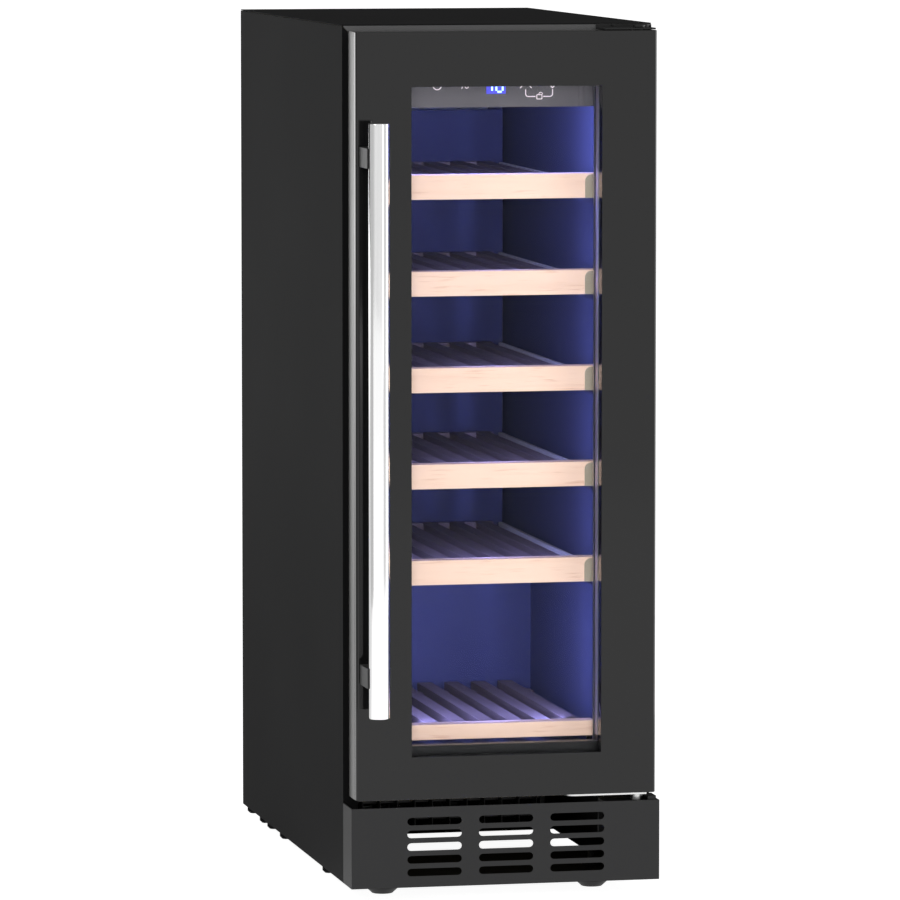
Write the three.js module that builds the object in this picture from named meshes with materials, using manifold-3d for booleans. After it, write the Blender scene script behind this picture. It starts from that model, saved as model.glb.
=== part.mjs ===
// A 295 mm wide under-counter wine cooler with a glass door, in millimetres, +Z up.
// Working frame: X across from the middle, Y back from the cabinet's front plane, Z up from the floor.
// The outermost group moves it so that the origin is the middle of the base of the overall box.
import * as THREE from "three";
import { mergeVertices } from "three/addons/utils/BufferGeometryUtils.js";
import Module from "manifold-3d";

const wasm = await Module();
wasm.setup();

// ---------------------------------------------------------------- driving dimensions
const WIDTH = 295;
const HEIGHT = 820;
const BODY_DEPTH = 519;
const BODY_BOTTOM = 17;
const SHEET = 1;
const FIT = 0.3; // gap kept between pieces that touch
const RUNNING = 0.08; // radial clearance of a pin in its bush

const HALF = WIDTH / 2;
const FLANGE = 14; // folded front edge of the case
const SIDE_TOP = HEIGHT - SHEET - FIT;
const REAR_SKIN = BODY_DEPTH - SHEET - FIT - SHEET; // front face of the back panel
const MACHINE_TOP = 240; // seam between the back panel and the machine grille
const RETURN = { rear: 12, foot: 16 }; // inward folds of the side panels
const GLIDE = { inset: 9.5, radius: 7, round: 2.5, bottom: 9, places: [114, 332, 399, 440, 507] };
const GRILLE = { rows: 9, first: 84, pitch: 16, gap: 6, from: 14, to: 124 };
const SPACER = { x: 100, z: 705, half: 10, tall: 15, base: 3, rib: 4, ribTall: 11, reach: 529 };

const KICK = { front: -40, top: 92.3, sheet: 1.2, tab: 8.5, tabTop: 80 };
const SLOT = { width: 52.2, height: 7.3, columnPitch: 68.4, columns: 3, rows: 5, rowPitch: 12, firstRow: 31 };

const BASE = { bottom: 18.3, top: 19.5, half: 146.2, holeHalf: 119, hole: [137, 276] };
const FOOT = { padLow: 10, pad: 16, padTop: 11, stem: 4, stemTop: 34, boss: 9, clear: 0.5 };
const FEET = { front: [101.6, 42], rear: [114, 503] };

const LINER = { half: 111.5, wall: 1.5, floor: 128, ceiling: 784, back: 480, front: 0.3 };
const LINER_FLANGE = { half: 133.2, low: 93.3 };
const STEP = { front: 346, top: 280 }; // raised floor over the compressor
const FOAM = { half: 146, front: 2.4, back: 516.4, bottom: 93, top: 818, pocketFront: 377, pocketTop: 248 };

const DOOR = { half: 143, bottom: 100, top: 814.3, back: -6.5, frameFront: -33, front: -42, wall: 1.5 };
const DOOR_EDGE = 2; // bevel along the front upright edges of the door
const WINDOW = { half: 90.4, bottom: 139.8, top: 763.3 };
const GLASS = { border: 7.6, thick: 4, front: -30, spacerHalf: 90.9, spacerDepth: 11.4, sill: 8.2, seat: 3.2 };
const GASKET = { outer: 128.5, inner: 116.5, low: 108, high: 802, back: -0.7 };

const HANDLE = { x: -128.75, y: -79, radius: 9.75, low: 182, high: 732 };
const POST = { half: 11.2, height: 18.5, lower: 219.2, upper: 699.6 };

const PIN = { x: 129.5, y: -24, radius: 4, collar: 5.5 };
const BUSH = { radius: 7, length: 13 };
const HINGE_SCREW = { height: 818.1, radius: 1.2, reach: 3, insets: [16, 10] };
const TOP_PLATE = { bottom: 814.9, top: 816.4, from: 94, to: 143, front: -36 };
const LOW_PLATE = { bottom: 88.5, top: 91, from: 97.5, to: 145, front: -37, webLow: 58, webThick: 2 };
const DOOR_STOP = { width: 8, back: -18, top: 96 };
const DOOR_PLATE = { bottom: 97.5, top: 99.7, from: 57.5, to: 136, front: -36, back: -12 };

const SHELF_COUNT = 5;
const SHELF = { first: 294.6, pitch: 90.4, height: 23, half: 101.5, outer: 103, front: 11, rail: 18 };
const SLATS = { count: 7, width: 14, pitch: 27, low: 4.3, thick: 9, back: 440 };
const RUNNER = { height: 12, inner: 99.6, crossBars: [110, 390], crossDepth: 15, crossHeight: 4 };
const TAB = { inner: 86.5, thick: 1, height: 22, round: 6 };
const LEDGE = { inner: 98, thick: 6, front: 25, back: 450 };
const LATH = { half: 92, depth: 12 };
const BOTTOM_SHELF = { bottom: 148.3, height: 14.2, half: 98, back: 330, round: 2 };
const BATTEN = { half: 104, depth: 18, front: 60, fromBack: 30 };

const PANEL = { half: 110, bottom: 742, top: 783.5, front: 8, depth: 50, wall: 2 };
const BOARD = { half: 60, front: 12, thick: 1.6, low: 747, high: 776.5 };
const LAMP = { half: 90, front: 22, depth: 10, low: 742.4, high: 745 };
const FAN = { blades: 7, twist: 0.6, bladeThick: 1.4, spoke: 2.5, gap: 2.5 };
const INNER_FAN = { x: -60, z: 600, y: 457.5, depth: 14, side: 92, radius: 39, hub: 14 };
const OUTER_FAN = { x: 0, z: 57, y: 336, depth: 15, side: 70, radius: 30, hub: 11 };
const CONDENSER = { half: 105, front: 290, depth: 38, bottom: 21, height: 68, fins: 13, tubes: 4, tube: 3 };
const EVAPORATOR = { half: 96, front: 474, back: 476, low: 300, high: 740 };
const COVER = { half: 107, front: 454.5, back: 457, low: 286, high: 720 };
const VENT = { from: -102, to: -24, rows: 6, first: 310, pitch: 14, height: 6 };
const COMPRESSOR = { x: -40, y: 448, base: 29, height: 168, radius: 58, stretch: 1.35 };
const BRACKET = { half: 64, depth: 50, thick: 2.5, leg: 10 };
const TRAY = { half: 70, depth: 48, height: 18, wall: 2 };
const DRIER = { x: -128, y: 420, low: 60, neck: 3, radius: 9, shoulder: 12, length: 86 };
const TERMINAL_BOX = { across: [40, 101], deep: [468, 510], top: 76 };
const INLET = { x: 95, z: 56, half: 13, tall: 8, lip: 5, front: 510.5, proud: 3, floor: 2.5, wall: 3.5 };
const PIPE = { x: 100, y: 500, radius: 4, clear: 1.5, top: 500 };

// ---------------------------------------------------------------- solids
function toSolid(geometry) {
  const bare = geometry.index ? geometry.toNonIndexed() : geometry.clone();
  bare.deleteAttribute("normal");
  bare.deleteAttribute("uv");
  const merged = mergeVertices(bare, 1e-4);
  const mesh = new wasm.Mesh({
    numProp: 3,
    vertProperties: merged.attributes.position.array,
    triVerts: new Uint32Array(merged.index.array),
  });
  return new wasm.Manifold(mesh);
}

function toGeometry(shape) {
  const mesh = shape.getMesh();
  const geometry = new THREE.BufferGeometry();
  geometry.setAttribute("position", new THREE.BufferAttribute(mesh.vertProperties, 3));
  geometry.setIndex(new THREE.BufferAttribute(mesh.triVerts, 1));
  const flat = geometry.toNonIndexed();
  flat.computeVertexNormals();
  return flat;
}

const join = (first, ...others) => others.reduce((sum, other) => sum.add(other), first);
const cut = (first, ...others) => others.reduce((rest, other) => rest.subtract(other), first);

function block([x0, x1], [y0, y1], [z0, z1]) {
  const geometry = new THREE.BoxGeometry(x1 - x0, y1 - y0, z1 - z0);
  geometry.translate((x0 + x1) / 2, (y0 + y1) / 2, (z0 + z1) / 2);
  return toSolid(geometry);
}

// A block on one side of the middle: side is 1 for the right and -1 for the left.
const sideBlock = (side, [a, b], y, z) => block(side > 0 ? [a, b] : [-b, -a], y, z);

// A block centred on x and z, reaching half to each side and tall up and down.
const centredBlock = ({ x, z }, half, tall, y) => block([x - half, x + half], y, [z - tall, z + tall]);

// A block as wide and high as an edge of the form { half, low, high }.
const upright = (edge, y) => block([-edge.half, edge.half], y, [edge.low, edge.high]);

// Turns an extrusion made along Z so that it runs along the named axis.
const AXIS_TURN = {
  x: new THREE.Matrix4().set(0, 0, 1, 0, 1, 0, 0, 0, 0, 1, 0, 0, 0, 0, 0, 1),
  y: new THREE.Matrix4().set(1, 0, 0, 0, 0, 0, -1, 0, 0, 1, 0, 0, 0, 0, 0, 1),
  z: new THREE.Matrix4(),
};

// An outline of [across, up] points drawn out along an axis, from one place to another.
function prism(points, axis, [from, to]) {
  const outline = new THREE.Shape(points.map(([a, b]) => new THREE.Vector2(a, b)));
  const geometry = new THREE.ExtrudeGeometry(outline, { depth: to - from, bevelEnabled: false });
  geometry.translate(0, 0, axis === "y" ? -to : from);
  geometry.applyMatrix4(AXIS_TURN[axis]);
  return toSolid(geometry);
}

function cylinder(axis, [a, b], radius, [from, to], sides = 24) {
  const geometry = new THREE.CylinderGeometry(radius, radius, to - from, sides);
  geometry.rotateX(Math.PI / 2);
  geometry.translate(a, b, axis === "y" ? -(from + to) / 2 : (from + to) / 2);
  geometry.applyMatrix4(AXIS_TURN[axis]);
  return toSolid(geometry);
}

// A turned shape about Z from [radius, height] points, placed at x, y.
function turned(points, [x, y], sides = 20) {
  const profile = points.map(([radius, height]) => new THREE.Vector2(radius, height));
  const geometry = new THREE.LatheGeometry(profile, sides);
  geometry.rotateX(Math.PI / 2);
  geometry.translate(x, y, 0);
  return toSolid(geometry);
}

// A flat ring: an outer rectangle with a smaller one taken out, standing in the XZ plane.
function ring(outer, inner, [y0, y1]) {
  return cut(upright(outer, [y0, y1]), upright(inner, [y0 - 1, y1 + 1]));
}

function piece(parent, name, shape, material) {
  const mesh = new THREE.Mesh(toGeometry(shape), material);
  mesh.name = name;
  parent.add(mesh);
}

// ---------------------------------------------------------------- materials
function finish(color, roughness, metalness = 0) {
  return new THREE.MeshStandardMaterial({ color, roughness, metalness });
}

const blackSteel = finish(0x303030, 0.55, 0.2);
const doorBlack = finish(0x313131, 0.5, 0.1);
const satinGrey = finish(0x8c8c8a, 0.4, 0.8);
const brightSteel = finish(0xd8d8d8, 0.22, 1);
const galvanised = finish(0xa6a8aa, 0.45, 0.9);
const linerBlue = finish(0x9fa4c0, 0.6);
const foamYellow = finish(0xd9cd9c, 0.9);
const greyPlastic = finish(0x6a696d, 0.55);
const blackPlastic = finish(0x161616, 0.6);
const beech = finish(0xe8cda6, 0.6);
const clearGlass = finish(0xbcc8d8, 0.05);
const rubberBlack = finish(0x1c1c1c, 0.8);
const copper = finish(0xb87850, 0.35, 0.9);
const boardGreen = finish(0x1e5a36, 0.5);
const lampWhite = finish(0xf0f4ff, 0.4);

// ---------------------------------------------------------------- case
// A rounded pad pressed down from the bottom fold of a side panel.
function glide(side, y) {
  const { inset, radius, round, bottom } = GLIDE;
  const top = BODY_BOTTOM + SHEET / 2;
  const profile = [[0, bottom], [radius - round, bottom], [radius, bottom + round], [radius, top], [0, top]];
  return turned(profile, [side * (HALF - inset), y], 16);
}

function sidePanel(side) {
  const wall = sideBlock(side, [HALF - SHEET, HALF], [0, BODY_DEPTH], [BODY_BOTTOM, SIDE_TOP]);
  const mitre = [
    [side * (HALF - FLANGE), BODY_BOTTOM],
    [side * HALF, BODY_BOTTOM],
    [side * HALF, SIDE_TOP],
    [side * (HALF - FLANGE), SIDE_TOP - FLANGE],
  ];
  const front = prism(mitre, "y", [0, SHEET]);
  const rearFold = [HALF - RETURN.rear, HALF];
  const rear = sideBlock(side, rearFold, [BODY_DEPTH - SHEET, BODY_DEPTH], [BODY_BOTTOM, SIDE_TOP]);
  const footFold = [HALF - RETURN.foot, HALF];
  const foot = sideBlock(side, footFold, [0, BODY_DEPTH], [BODY_BOTTOM, BODY_BOTTOM + SHEET]);
  return join(wall, front, rear, foot, ...GLIDE.places.map((y) => glide(side, y)));
}

function topPanel() {
  const sheet = block([-HALF, HALF], [0, BODY_DEPTH], [HEIGHT - SHEET, HEIGHT]);
  const low = HEIGHT - FLANGE;
  const inner = HALF - SHEET - FIT;
  const inset = HALF - FLANGE + 3 * FIT;
  const mitreTop = low + inner - inset;
  const left = [[-inner, HEIGHT], [-inner, mitreTop], [-inset, low]];
  const right = [[inset, low], [inner, mitreTop], [inner, HEIGHT]];
  return join(sheet, prism([...left, ...right], "y", [0, SHEET]));
}

function backPanel() {
  return block([-BASE.half, BASE.half], [REAR_SKIN, REAR_SKIN + SHEET], [MACHINE_TOP + FIT, FOAM.top]);
}

function rearGrille() {
  const plate = block([-BASE.half, BASE.half], [REAR_SKIN, REAR_SKIN + SHEET], [BASE.top + FIT, MACHINE_TOP]);
  const through = [REAR_SKIN - 5, REAR_SKIN + 5];
  const louvres = [];
  for (let row = 0; row < GRILLE.rows; row += 1) {
    for (const side of [-1, 1]) {
      const low = GRILLE.first + row * GRILLE.pitch;
      louvres.push(sideBlock(side, [GRILLE.from, GRILLE.to], through, [low, low + GRILLE.gap]));
    }
  }
  const inletHole = centredBlock(INLET, INLET.half + 1, INLET.tall + 1, through);
  return cut(plate, inletHole, ...louvres);
}

function rearSpacer(side) {
  const face = REAR_SKIN + SHEET + FIT;
  const place = { x: side * SPACER.x, z: SPACER.z };
  const pad = centredBlock(place, SPACER.half, SPACER.tall, [face, face + SPACER.base]);
  return join(pad, centredBlock(place, SPACER.rib, SPACER.ribTall, [face + SPACER.base - 1, SPACER.reach]));
}

function slotHole(x, z) {
  const radius = SLOT.height / 2;
  const reach = (SLOT.width - SLOT.height) / 2;
  const outline = [];
  for (const side of [1, -1]) {
    for (let step = 0; step <= 6; step += 1) {
      const angle = (side > 0 ? -Math.PI / 2 : Math.PI / 2) + (Math.PI * step) / 6;
      outline.push([x + side * reach + radius * Math.cos(angle), z + radius * Math.sin(angle)]);
    }
  }
  return prism(outline, "y", [KICK.front - 2, KICK.front + 4]);
}

function kickplate() {
  const inside = HALF - KICK.sheet;
  const height = [BODY_BOTTOM, KICK.top];
  const front = block([-HALF, HALF], [KICK.front, KICK.front + KICK.sheet], height);
  const returns = [-1, 1].map((side) => sideBlock(side, [inside, HALF], [KICK.front, -FIT], height));
  const tabs = [-1, 1].map((side) =>
    sideBlock(side, [HALF - KICK.tab, HALF], [-FIT - KICK.sheet, -FIT], [BODY_BOTTOM, KICK.tabTop]),
  );
  const holes = [];
  for (let column = 0; column < SLOT.columns; column += 1) {
    for (let row = 0; row < SLOT.rows; row += 1) {
      const x = (column - (SLOT.columns - 1) / 2) * SLOT.columnPitch;
      holes.push(slotHole(x, SLOT.firstRow + row * SLOT.rowPitch));
    }
  }
  return cut(join(front, ...returns, ...tabs), ...holes);
}

// ---------------------------------------------------------------- base and feet
function eachFoot(visit) {
  for (const [row, [x, y]] of Object.entries(FEET)) {
    visit(`levelling_foot_${row}_left`, -x, y);
    visit(`levelling_foot_${row}_right`, x, y);
  }
}

function basePan() {
  const sides = [-BASE.half, BASE.half];
  const plate = block(sides, [SHEET + FIT, REAR_SKIN - FIT], [BASE.bottom, BASE.top]);
  const opening = block([-BASE.holeHalf, BASE.holeHalf], BASE.hole, [BASE.bottom - 1, BASE.top + 1]);
  let pan = cut(plate, opening);
  eachFoot((name, x, y) => {
    pan = join(pan, cylinder("z", [x, y], FOOT.boss, [FOOT.padTop + FIT, BASE.top + 3], 16));
  });
  eachFoot((name, x, y) => {
    pan = cut(pan, cylinder("z", [x, y], FOOT.stem + FOOT.clear, [0, FOOT.stemTop], 16));
  });
  return pan;
}

function levellingFoot() {
  const profile = [
    [0, 0],
    [FOOT.padLow, 0],
    [FOOT.pad, 6],
    [FOOT.pad, FOOT.padTop],
    [FOOT.stem, FOOT.padTop],
    [FOOT.stem, FOOT.stemTop],
    [0, FOOT.stemTop],
  ];
  return turned(profile, [0, 0], 12);
}

// ---------------------------------------------------------------- inner box and insulation
// The side view of the inner box, grown outwards by a margin, drawn out across the width.
function linerCore(margin, front) {
  const floor = LINER.floor - margin;
  const step = STEP.front + margin;
  const back = LINER.back + margin;
  const outline = [
    [front, floor],
    [step, floor],
    [step, STEP.top - margin],
    [back, STEP.top - margin],
    [back, LINER.ceiling + margin],
    [front, LINER.ceiling + margin],
  ];
  return prism(outline, "x", [-LINER.half - margin, LINER.half + margin]);
}

function innerLiner() {
  const edge = { ...LINER_FLANGE, high: HEIGHT - FLANGE - FIT };
  const flange = upright(edge, [LINER.front, LINER.front + LINER.wall]);
  const shell = cut(join(linerCore(LINER.wall, LINER.front), flange), linerCore(0, -10));
  const ledges = [];
  for (const side of [-1, 1]) {
    for (let level = 0; level < SHELF_COUNT; level += 1) {
      const top = SHELF.first + level * SHELF.pitch - FIT;
      const height = [top - LEDGE.thick, top];
      ledges.push(sideBlock(side, [LEDGE.inner, LINER.half + 1], [LEDGE.front, LEDGE.back], height));
    }
    const low = BOTTOM_SHELF.bottom - FIT;
    const reach = [BOTTOM_SHELF.half - 6, LINER.half + 1];
    ledges.push(sideBlock(side, reach, [LEDGE.front, STEP.front - 10], [low - LEDGE.thick, low]));
  }
  return join(shell, ...ledges);
}

function insulationFoam() {
  const body = block([-FOAM.half, FOAM.half], [FOAM.front, FOAM.back], [FOAM.bottom, FOAM.top]);
  const pocket = block([-HALF, HALF], [FOAM.pocketFront, FOAM.back + 5], [0, FOAM.pocketTop]);
  const channel = cylinder("z", [PIPE.x, PIPE.y], PIPE.radius + PIPE.clear, [0, PIPE.top + 5], 12);
  return cut(body, linerCore(LINER.wall + FIT, -10), pocket, channel);
}

// ---------------------------------------------------------------- controls and lighting
const lampDepth = (gap) => [LAMP.front - gap, LAMP.front + LAMP.depth + gap];

function controlPanel() {
  const across = [-PANEL.half, PANEL.half];
  const face = block(across, [PANEL.front, PANEL.front + PANEL.wall], [PANEL.bottom, PANEL.top]);
  const height = [PANEL.bottom, PANEL.bottom + PANEL.wall];
  const under = block(across, [PANEL.front, PANEL.front + PANEL.depth], height);
  const lampSlot = block([-LAMP.half - FIT, LAMP.half + FIT], lampDepth(FIT), [PANEL.bottom - 1, LAMP.high]);
  return cut(join(face, under), lampSlot);
}

function controlBoard() {
  return upright(BOARD, [BOARD.front, BOARD.front + BOARD.thick]);
}

function ledStrip() {
  return upright(LAMP, lampDepth(0));
}

// ---------------------------------------------------------------- shelves
// A front board whose top corners are rounded, as [across, up] points.
function boardOutline(half, low, height, round) {
  const outline = [[-half, low], [half, low]];
  for (const side of [1, -1]) {
    for (let step = 0; step <= 4; step += 1) {
      const turn = (Math.PI / 2) * (step / 4);
      const angle = side > 0 ? turn : Math.PI / 2 + turn;
      outline.push([
        side * (half - round) + round * Math.cos(angle),
        low + height - round + round * Math.sin(angle),
      ]);
    }
  }
  return outline;
}

function slats(low, front, back) {
  const made = [];
  for (let index = 0; index < SLATS.count; index += 1) {
    const x = (index - (SLATS.count - 1) / 2) * SLATS.pitch;
    const across = [x - SLATS.width / 2, x + SLATS.width / 2];
    made.push(block(across, [front, back], [low + SLATS.low, low + SLATS.low + SLATS.thick]));
  }
  return made;
}

function shelfRack() {
  const behind = SHELF.front + SHELF.rail;
  const board = block([-SHELF.half, SHELF.half], [SHELF.front, behind], [0, SHELF.height]);
  const lath = { half: LATH.half, low: SLATS.low, high: SLATS.low + SLATS.thick };
  const lastLath = upright(lath, [SLATS.back - LATH.depth, SLATS.back]);
  return join(board, lastLath, ...slats(0, behind - 1, SLATS.back));
}

// The end tab seen from the front: its upper inner corner is rounded.
function tabOutline(side) {
  const outline = [[side * SHELF.outer, 0], [side * SHELF.outer, TAB.height]];
  for (let step = 0; step <= 4; step += 1) {
    const turn = (Math.PI / 2) * (step / 4);
    outline.push([
      side * (TAB.inner + TAB.round - TAB.round * Math.sin(turn)),
      TAB.height - TAB.round + TAB.round * Math.cos(turn),
    ]);
  }
  outline.push([side * TAB.inner, 0]);
  return outline;
}

function shelfRunners() {
  const face = SHELF.front - FIT;
  const made = [];
  for (const side of [-1, 1]) {
    made.push(prism(tabOutline(side), "y", [face - TAB.thick, face]));
    const skin = [SHELF.half + FIT, SHELF.outer];
    made.push(sideBlock(side, skin, [face - TAB.thick, SHELF.front + SHELF.rail + 4], [0, TAB.height]));
    const start = SHELF.front + SHELF.rail + FIT;
    made.push(sideBlock(side, [RUNNER.inner, SHELF.outer], [start, SLATS.back], [0, RUNNER.height]));
  }
  for (const y of RUNNER.crossBars) {
    const across = [-RUNNER.inner - 1, RUNNER.inner + 1];
    made.push(block(across, [y, y + RUNNER.crossDepth], [0, RUNNER.crossHeight]));
  }
  return join(...made);
}

function bottomShelf() {
  const front = SHELF.front;
  const outline = boardOutline(BOTTOM_SHELF.half, 0, BOTTOM_SHELF.height, BOTTOM_SHELF.round);
  const board = prism(outline, "y", [front, front + SHELF.rail]);
  const lath = { half: BATTEN.half, low: 0, high: SLATS.low + 1 };
  const places = [BATTEN.front, BOTTOM_SHELF.back - BATTEN.fromBack];
  const battens = places.map((y) => upright(lath, [y, y + BATTEN.depth]));
  return join(board, ...battens, ...slats(-1, front + SHELF.rail - 1, BOTTOM_SHELF.back));
}

// ---------------------------------------------------------------- cooling machine
function fanFrame(fan) {
  const half = fan.side / 2;
  const span = [fan.y, fan.y + fan.depth];
  const square = centredBlock(fan, half, half, span);
  const bore = cylinder("y", [fan.x, fan.z], fan.radius + FAN.gap, [fan.y - 1, fan.y + fan.depth + 1], 32);
  const rear = [fan.y + fan.depth - FAN.spoke, fan.y + fan.depth];
  const boss = cylinder("y", [fan.x, fan.z], fan.hub, rear, 20);
  const level = centredBlock(fan, half - 1, FAN.spoke, rear);
  return join(cut(square, bore), boss, level, centredBlock(fan, FAN.spoke, half - 1, rear));
}

// A fan wheel about its own Y axis: a hub with pitched blades.
function fanRotor(fan) {
  const depth = fan.depth - 6;
  const made = [cylinder("y", [0, 0], fan.hub, [0, depth], 20)];
  for (let index = 0; index < FAN.blades; index += 1) {
    const blade = new THREE.BoxGeometry(fan.radius - fan.hub + 2, FAN.bladeThick, fan.hub * 1.25);
    blade.rotateX(FAN.twist);
    blade.translate((fan.radius + fan.hub) / 2 - 1, depth / 2, 0);
    blade.rotateY((index * 2 * Math.PI) / FAN.blades);
    made.push(toSolid(blade));
  }
  const wheel = join(...made);
  return wheel.intersect(cylinder("y", [0, 0], fan.radius, [-0.5, depth + 0.5], 32));
}

function evaporatorCover() {
  const plate = upright(COVER, [COVER.front, COVER.back]);
  const through = [COVER.front - 5, COVER.back + 5];
  const fanHole = cylinder("y", [INNER_FAN.x, INNER_FAN.z], INNER_FAN.radius, through, 32);
  const vents = [];
  for (let row = 0; row < VENT.rows; row += 1) {
    const low = VENT.first + row * VENT.pitch;
    vents.push(block([VENT.from, VENT.to], through, [low, low + VENT.height]));
  }
  return cut(plate, fanHole, ...vents);
}

function evaporatorPlate() {
  return upright(EVAPORATOR, [EVAPORATOR.front, EVAPORATOR.back]);
}

function compressor() {
  const { radius, height } = COMPRESSOR;
  const profile = [
    [0, 0],
    [radius * 0.62, 0],
    [radius * 0.9, height * 0.1],
    [radius, height * 0.24],
    [radius, height * 0.46],
    [radius * 1.04, height * 0.48],
    [radius * 1.04, height * 0.52],
    [radius, height * 0.54],
    [radius, height * 0.76],
    [radius * 0.86, height * 0.92],
    [radius * 0.5, height],
    [0, height],
  ];
  return turned(profile, [0, 0], 24);
}

function compressorBracket() {
  const { x, y, base } = COMPRESSOR;
  const { half, depth, thick, leg } = BRACKET;
  const deep = [y - depth, y + depth];
  const plate = block([x - half, x + half], deep, [base - FIT - thick, base - FIT]);
  const legs = [x - half, x + half - leg].map((left) =>
    block([left, left + leg], deep, [BASE.top + FIT, base - FIT - 1]),
  );
  return join(plate, ...legs);
}

function dripTray() {
  const { x, y, base, height } = COMPRESSOR;
  const low = base + height + FIT;
  const high = low + TRAY.height;
  const half = TRAY.half - TRAY.wall;
  const deep = TRAY.depth - TRAY.wall;
  const outer = block([x - TRAY.half, x + TRAY.half], [y - TRAY.depth, y + TRAY.depth], [low, high]);
  return cut(outer, block([x - half, x + half], [y - deep, y + deep], [low + TRAY.wall, high + 1]));
}

function condenserCoil() {
  const { half, front, depth, bottom, height, fins, tubes, tube } = CONDENSER;
  const made = [];
  for (let row = 0; row < tubes; row += 1) {
    const z = bottom + (height * (row + 0.5)) / tubes;
    made.push(cylinder("x", [front + depth / 2, z], tube, [-half - 8, half + 8], 6));
  }
  for (let index = 0; index < fins; index += 1) {
    const x = -half + (index * 2 * half) / (fins - 1);
    made.push(block([x - 0.4, x + 0.4], [front, front + depth], [bottom, bottom + height]));
  }
  for (const side of [-1, 1]) {
    const header = [half + 6, half + 11];
    made.push(sideBlock(side, header, [front + 12, front + depth - 12], [bottom + 4, bottom + height - 4]));
  }
  return join(...made);
}

function drierFilter() {
  const { x, y, low, neck, radius, shoulder, length } = DRIER;
  const high = low + length;
  const lower = [[0, low], [neck, low], [radius, low + shoulder]];
  const upper = [[radius, high - shoulder], [neck, high], [0, high]];
  return turned([...lower, ...upper], [x, y], 12);
}

function suctionLine() {
  const stops = [
    [46, 470, 150],
    [70, 482, 150],
    [92, 496, 158],
    [PIPE.x, PIPE.y, 178],
    [PIPE.x, PIPE.y, 330],
    [PIPE.x, PIPE.y, PIPE.top],
  ];
  const points = stops.map((stop) => new THREE.Vector3(...stop));
  const route = new THREE.CatmullRomCurve3(points, false, "catmullrom", 0.2);
  const section = new THREE.Shape();
  section.absarc(0, 0, PIPE.radius, 0, 2 * Math.PI);
  const options = { extrudePath: route, steps: 24, bevelEnabled: false, curveSegments: 4 };
  return toSolid(new THREE.ExtrudeGeometry(section, options));
}

function electricalBox() {
  return block(TERMINAL_BOX.across, TERMINAL_BOX.deep, [BASE.top + FIT, TERMINAL_BOX.top]);
}

function powerInlet() {
  const { half, tall, lip, front, proud, floor, wall } = INLET;
  const face = REAR_SKIN + SHEET + FIT;
  const body = centredBlock(INLET, half, tall, [front, face + proud]);
  const flange = centredBlock(INLET, half + lip, tall + lip, [face, face + proud]);
  const socket = centredBlock(INLET, half - wall, tall - wall, [front + floor, face + proud + 1]);
  return cut(join(body, flange), socket);
}

// ---------------------------------------------------------------- door
const opening = { half: WINDOW.half, low: WINDOW.bottom, high: WINDOW.top };
const leaf = { half: DOOR.half, low: DOOR.bottom, high: DOOR.top };
const grown = (edge, by) => ({ half: edge.half + by, low: edge.low - by, high: edge.high + by });
const pane = grown(opening, GLASS.border);

function doorFrame() {
  const body = upright(leaf, [DOOR.frameFront, DOOR.back]);
  const seat = grown(pane, FIT);
  const glassSpace = upright(seat, [DOOR.frameFront - 1, DOOR.back - GLASS.seat]);
  const through = upright(opening, [DOOR.frameFront - 1, DOOR.back + 1]);
  const channel = ring(grown(leaf, -DOOR.wall), grown(seat, DOOR.wall), [DOOR.frameFront - 1, DOOR.back - 2]);
  const bushHole = cylinder("z", [PIN.x, PIN.y], BUSH.radius + FIT, [DOOR.top - 5, DOOR.top + 5]);
  const pinHole = cylinder("z", [PIN.x, PIN.y], PIN.radius + 0.5, [DOOR.bottom - 5, DOOR.bottom + 5]);
  return cut(body, glassSpace, through, channel, bushHole, pinHole);
}

function doorFrontPanel() {
  const back = DOOR.frameFront - FIT;
  const flat = DOOR.half - DOOR_EDGE;
  const plan = [
    [-DOOR.half, back],
    [-DOOR.half, DOOR.front + DOOR_EDGE],
    [-flat, DOOR.front],
    [flat, DOOR.front],
    [DOOR.half, DOOR.front + DOOR_EDGE],
    [DOOR.half, back],
  ];
  const body = prism(plan, "z", [DOOR.bottom, DOOR.top]);
  const reveal = grown(opening, DOOR.wall);
  const lips = ring(reveal, opening, [DOOR.front + 1, GLASS.front - FIT]);
  const pocket = ring(grown(leaf, -DOOR.wall), reveal, [DOOR.front + DOOR_EDGE, back + 5]);
  const through = upright(opening, [DOOR.front - 5, 0]);
  return cut(join(cut(body, pocket), lips), through);
}

function glassPane(front) {
  return block([-pane.half, pane.half], [front, front + GLASS.thick], [pane.low, pane.high]);
}

function glassSpacer() {
  const front = GLASS.front + GLASS.thick + FIT;
  const outer = grown(pane, -1);
  const inner = { half: GLASS.spacerHalf, low: WINDOW.bottom + GLASS.sill, high: WINDOW.top + 0.5 };
  return ring(outer, inner, [front, front + GLASS.spacerDepth]);
}

function doorGasket() {
  const width = GASKET.outer - GASKET.inner;
  const outer = { half: GASKET.outer, low: GASKET.low, high: GASKET.high };
  const body = ring(outer, grown(outer, -width), [DOOR.back + FIT, GASKET.back]);
  const groove = ring(grown(outer, -width * 0.35), grown(outer, -width * 0.65), [GASKET.back - 2, 1]);
  return cut(body, groove);
}

function handleBar() {
  const { x, y, radius, low, high } = HANDLE;
  const edge = 1;
  const profile = [
    [0, low],
    [radius - edge, low],
    [radius, low + edge],
    [radius, high - edge],
    [radius - edge, high],
    [0, high],
  ];
  return turned(profile, [x, y], 32);
}

function handlePost(middle) {
  const { x, y, radius } = HANDLE;
  const height = [middle - POST.height / 2, middle + POST.height / 2];
  const body = block([x - POST.half, x + POST.half], [y, DOOR.front - FIT], height);
  return cut(body, cylinder("z", [x, y], radius + FIT, [height[0] - 1, height[1] + 1], 32));
}

// ---------------------------------------------------------------- hinges
const pinHoleAt = (height) => cylinder("z", [PIN.x, PIN.y], PIN.radius + 0.4, height);

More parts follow.
